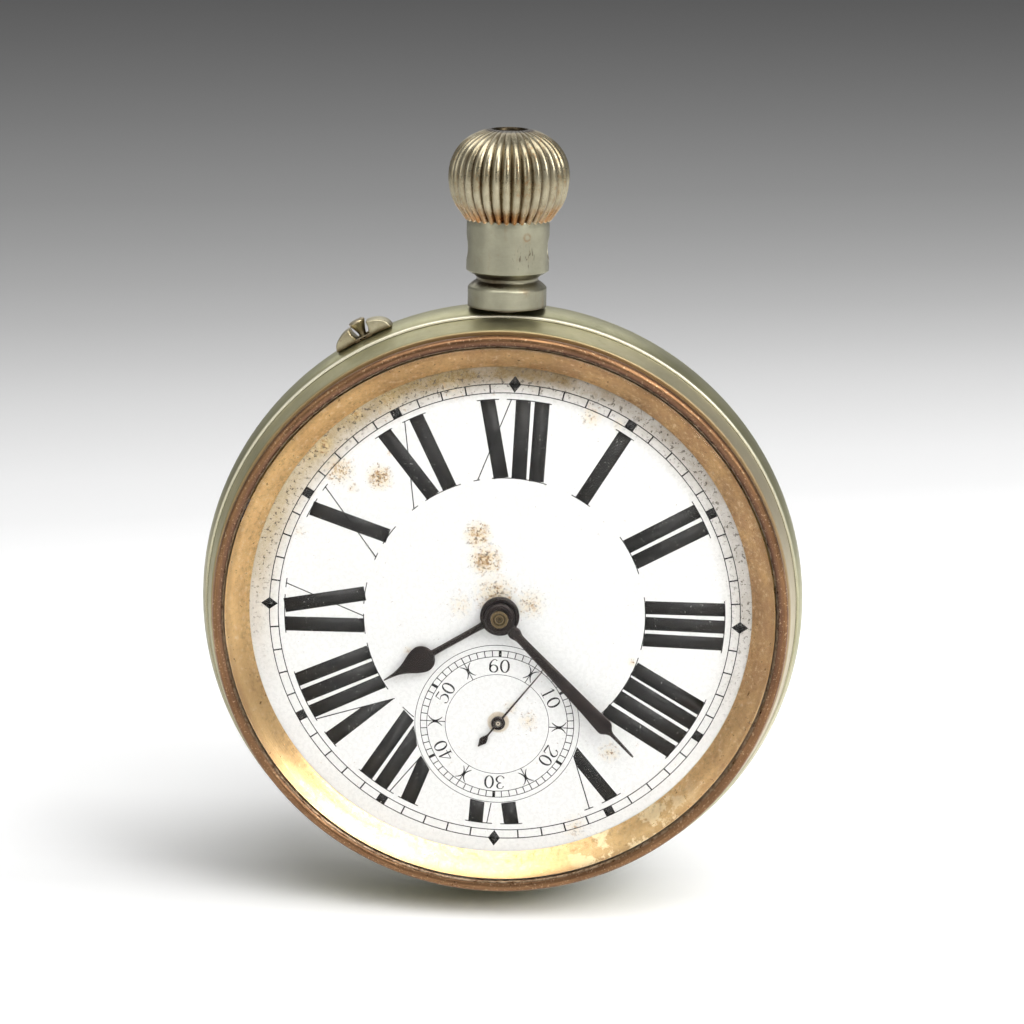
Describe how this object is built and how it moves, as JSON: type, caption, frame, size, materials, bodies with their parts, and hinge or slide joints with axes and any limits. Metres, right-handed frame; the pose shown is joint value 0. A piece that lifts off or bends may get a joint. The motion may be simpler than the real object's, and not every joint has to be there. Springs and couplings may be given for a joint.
{
  "type": "pocket watch",
  "caption": "Large open-face railway pocket watch, keyless lever movement with a pin for hand setting, small seconds dial at 6, hinged back.",
  "frame": {"origin": "centre of the back cover's flat face, on the axis of the hour and minute hands", "axes": "+Z to 12 o'clock along the pendant and crown, +X to 3 o'clock, +Y out of the back; the dial faces -Y"},
  "size_m": [0.065, 0.019, 0.085],
  "materials": {
    "nickel_case": "dull nickel silver, greenish grey, light wear",
    "pendant_nickel": "dull nickel silver",
    "crown_nickel": "worn nickel plate over brass",
    "bead_copper": "coppery brown tarnish",
    "gilt_flange": "mottled gilding",
    "brass": "satin",
    "steel": "polished",
    "blued_steel": "blued",
    "dark_hands": "dark oxide with spots of rust",
    "white_enamel": "fired enamel with black numerals, rust stains",
    "crystal_glass": "clear, polished"
  },
  "bodies": {
    "case": {"case_band": "nickel_case", "pendant_neck": "pendant_nickel", "pendant_sleeve": "steel", "pin_guard": "nickel_case", "bezel": "nickel_case", "crystal_rim": "bead_copper", "crystal": "crystal_glass", "dial_flange": "gilt_flange", "dial": "white_enamel", "movement_ring": "brass", "case_screw_1": "steel", "case_screw_2": "steel", "main_plate": "brass", "barrel_bridge": "brass", "barrel_bridge_screw_1": "steel", "barrel_bridge_screw_2": "steel", "train_bridge": "brass", "train_bridge_screw_1": "steel", "train_bridge_screw_2": "steel", "pallet_cock": "brass", "pallet_cock_screw": "steel", "balance_cock": "brass", "balance_cock_screw": "steel", "dust_cover": "brass", "back_hinge_pin": "steel", "click_spring": "steel", "click_screw": "steel", "crown_wheel_screw": "steel", "hairspring": "blued_steel"},
    "crown": {"crown": "crown_nickel", "winding_stem": "steel", "winding_pinion": "steel"},
    "crown_wheel": {"crown_wheel": "steel"},
    "rocking_bar": {"rocking_bar": "steel"},
    "winding_idler": {"winding_idler": "steel"},
    "setting_idler": {"setting_idler": "steel"},
    "barrel_arbor": {"barrel_arbor": "steel", "ratchet_wheel": "steel", "ratchet_screw": "steel"},
    "click": {"click": "steel"},
    "barrel": {"barrel": "brass", "barrel_cover": "brass", "mainspring": "steel"},
    "center": {"center_wheel": "brass", "cannon_pinion": "steel", "minute_hand": "dark_hands"},
    "third": {"third_wheel": "brass"},
    "fourth": {"fourth_wheel": "brass", "seconds_hand": "dark_hands"},
    "escape": {"escape_wheel": "steel"},
    "minute_wheel": {"minute_wheel": "brass"},
    "hour": {"hour_wheel": "brass", "hour_hand": "dark_hands"},
    "pallet_fork": {"pallet_fork": "steel"},
    "balance": {"balance_wheel": "brass", "balance_staff": "steel"},
    "regulator": {"regulator": "steel"},
    "set_pin": {"set_pin": "brass"},
    "back_cover": {"back_cover": "nickel_case"}
  },
  "joints": [
    {"name": "seconds_turn", "type": "hinge", "parent": "case", "child": "fourth", "pos_m": [-0.00034, 0, -0.0121], "axis": [0, 1, 0], "continuous": true},
    {"name": "third_turn", "type": "hinge", "parent": "case", "child": "third", "pos_m": [-0.00334, 0, -0.00639], "axis": [0, 1, 0], "continuous": true},
    {"name": "center_turn", "type": "hinge", "parent": "case", "child": "center", "pos_m": [0, 0, 0], "axis": [0, 1, 0], "continuous": true},
    {"name": "barrel_turn", "type": "hinge", "parent": "case", "child": "barrel", "pos_m": [0.00819, 0, 0.00573], "axis": [0, 1, 0], "continuous": true},
    {"name": "escape_turn", "type": "hinge", "parent": "case", "child": "escape", "pos_m": [0.00494, 0, -0.01018], "axis": [0, 1, 0], "continuous": true},
    {"name": "minute_wheel_turn", "type": "hinge", "parent": "case", "child": "minute_wheel", "pos_m": [-0.00094, 0, 0.00532], "axis": [0, 1, 0], "continuous": true},
    {"name": "hour_turn", "type": "hinge", "parent": "case", "child": "hour", "pos_m": [0, 0, 0], "axis": [0, 1, 0], "continuous": true},
    {"name": "crown_turn", "type": "hinge", "parent": "case", "child": "crown", "pos_m": [0, -0.01, 0.046], "axis": [0, 0, 1], "continuous": true},
    {"name": "crown_wheel_turn", "type": "hinge", "parent": "case", "child": "crown_wheel", "pos_m": [0, 0, 0.0154], "axis": [0, 1, 0], "continuous": true},
    {"name": "winding_idler_turn", "type": "hinge", "parent": "rocking_bar", "child": "winding_idler", "pos_m": [0.00742, 0, 0.0127], "axis": [0, 1, 0], "continuous": true},
    {"name": "setting_idler_turn", "type": "hinge", "parent": "rocking_bar", "child": "setting_idler", "pos_m": [-0.00657, 0, 0.01101], "axis": [0, 1, 0], "continuous": true},
    {"name": "barrel_arbor_turn", "type": "hinge", "parent": "case", "child": "barrel_arbor", "pos_m": [0.00819, 0, 0.00573], "axis": [0, 1, 0], "continuous": true},
    {"name": "set_pin_press", "type": "slide", "parent": "case", "child": "set_pin", "axis": [0.4633, 0, -0.8862], "range_m": [0, 0.0009], "stiffness_N_per_m": 300, "springref_m": -0.001},
    {"name": "rocking_bar_tilt", "type": "hinge", "parent": "case", "child": "rocking_bar", "pos_m": [0, 0, 0.0154], "axis": [0, 1, 0], "range_deg": [-7.23, 0]},
    {"name": "click_lift", "type": "hinge", "parent": "case", "child": "click", "pos_m": [0.01417, 0, 0.00294], "axis": [0, 1, 0], "range_deg": [0, 8], "stiffness_Nm_per_rad": 0.003, "springref_deg": -17.19},
    {"name": "pallet_rock", "type": "hinge", "parent": "case", "child": "pallet_fork", "pos_m": [0.00892, 0, -0.00983], "axis": [0, 1, 0], "range_deg": [-4, 4]},
    {"name": "balance_swing", "type": "hinge", "parent": "case", "child": "balance", "pos_m": [0.01405, 0, -0.00965], "axis": [0, 1, 0], "range_deg": [-270, 270], "stiffness_Nm_per_rad": 0.0000032},
    {"name": "regulator_shift", "type": "hinge", "parent": "case", "child": "regulator", "pos_m": [0.01405, 0, -0.00965], "axis": [0, 1, 0], "range_deg": [-15, 15]},
    {"name": "back_cover_hinge", "type": "hinge", "parent": "case", "child": "back_cover", "pos_m": [0, -0.0047, -0.03305], "axis": [-1, 0, 0], "range_deg": [0, 100]}
  ],
  "couplings": [
    {"joint": "third_turn", "follows": "seconds_turn", "ratio": -0.13333},
    {"joint": "center_turn", "follows": "seconds_turn", "ratio": 0.016667},
    {"joint": "barrel_turn", "follows": "seconds_turn", "ratio": -0.0027778},
    {"joint": "escape_turn", "follows": "seconds_turn", "ratio": -8},
    {"joint": "minute_wheel_turn", "follows": "seconds_turn", "ratio": -0.0055556},
    {"joint": "hour_turn", "follows": "seconds_turn", "ratio": 0.0013889},
    {"joint": "crown_wheel_turn", "follows": "crown_turn", "ratio": 0.5},
    {"joint": "winding_idler_turn", "follows": "crown_turn", "ratio": -1},
    {"joint": "setting_idler_turn", "follows": "crown_turn", "ratio": -1},
    {"joint": "barrel_arbor_turn", "follows": "crown_turn", "ratio": 0.6},
    {"joint": "rocking_bar_tilt", "follows": "set_pin_press", "rad_per_m": -140.1}
  ]
}
